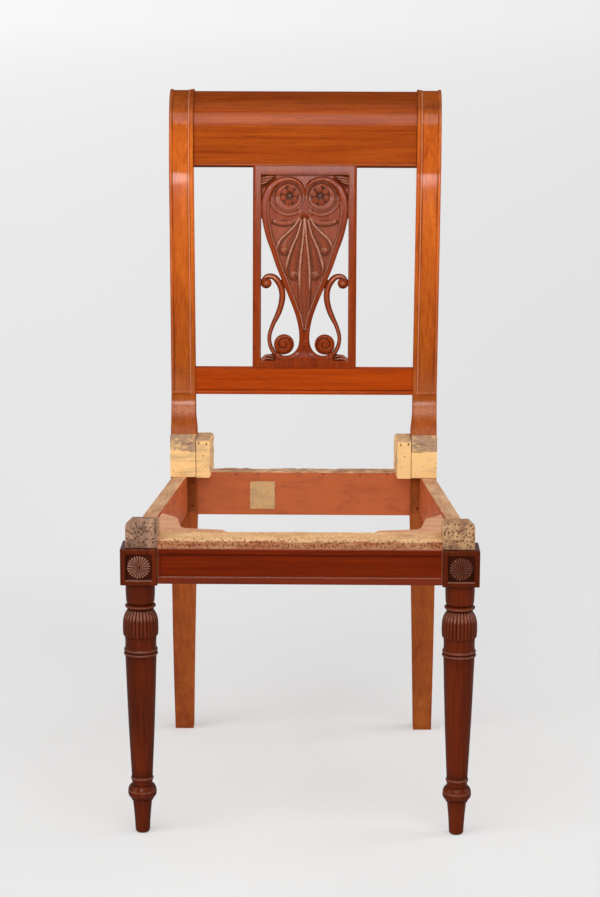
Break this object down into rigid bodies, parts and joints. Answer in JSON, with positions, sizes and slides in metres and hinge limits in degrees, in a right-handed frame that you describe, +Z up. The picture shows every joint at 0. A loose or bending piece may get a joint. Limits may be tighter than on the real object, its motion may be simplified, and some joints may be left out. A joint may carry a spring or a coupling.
{
  "type": "palmette back chair frame",
  "caption": "Wooden side chair frame without its seat upholstery: turned reeded front legs, raked rear legs, rolled crest rail and a pierced splat carved with a palmette.",
  "frame": {"origin": "on the floor, at the middle of the width and of the whole depth", "axes": "+Z up, -Y to the front of the chair, +X to the right as seen from the front"},
  "size_m": [0.455, 0.5706, 0.9287],
  "materials": {
    "stile_wood": "glossy french polish",
    "crest_wood": "glossy french polish",
    "splat_wood": "glossy french polish",
    "front_rail_wood": "glossy french polish",
    "leg_wood": "glossy french polish",
    "inner_rail_wood": "bare",
    "brace_wood": "bare",
    "tacking_block_wood": "bare",
    "peg_wood": "bare"
  },
  "bodies": {
    "root": {"stile_left": "stile_wood", "stile_right": "stile_wood", "lower_back_rail": "stile_wood", "crest_rail": "crest_wood", "palmette_splat": "splat_wood", "front_seat_rail": "front_rail_wood", "front_leg_left": "leg_wood", "front_leg_right": "leg_wood", "side_seat_rail_left": "inner_rail_wood", "side_seat_rail_right": "inner_rail_wood", "back_seat_rail": "inner_rail_wood", "corner_brace_left": "brace_wood", "corner_brace_right": "brace_wood", "stile_face_block_left": "tacking_block_wood", "stile_face_block_right": "tacking_block_wood", "stile_inner_block_left": "tacking_block_wood", "stile_inner_block_right": "tacking_block_wood", "peg_front_rail_left_1": "peg_wood", "peg_front_rail_left_2": "peg_wood", "peg_side_rail_front_left": "peg_wood", "peg_side_rail_rear_left_1": "peg_wood", "peg_side_rail_rear_left_2": "peg_wood", "peg_back_rail_left_1": "peg_wood", "peg_back_rail_left_2": "peg_wood", "peg_crest_left_1": "peg_wood", "peg_crest_left_2": "peg_wood", "peg_lower_rail_left": "peg_wood", "peg_front_rail_right_1": "peg_wood", "peg_front_rail_right_2": "peg_wood", "peg_side_rail_front_right": "peg_wood", "peg_side_rail_rear_right_1": "peg_wood", "peg_side_rail_rear_right_2": "peg_wood", "peg_back_rail_right_1": "peg_wood", "peg_back_rail_right_2": "peg_wood", "peg_crest_right_1": "peg_wood", "peg_crest_right_2": "peg_wood", "peg_lower_rail_right": "peg_wood"}
  },
  "joints": []
}
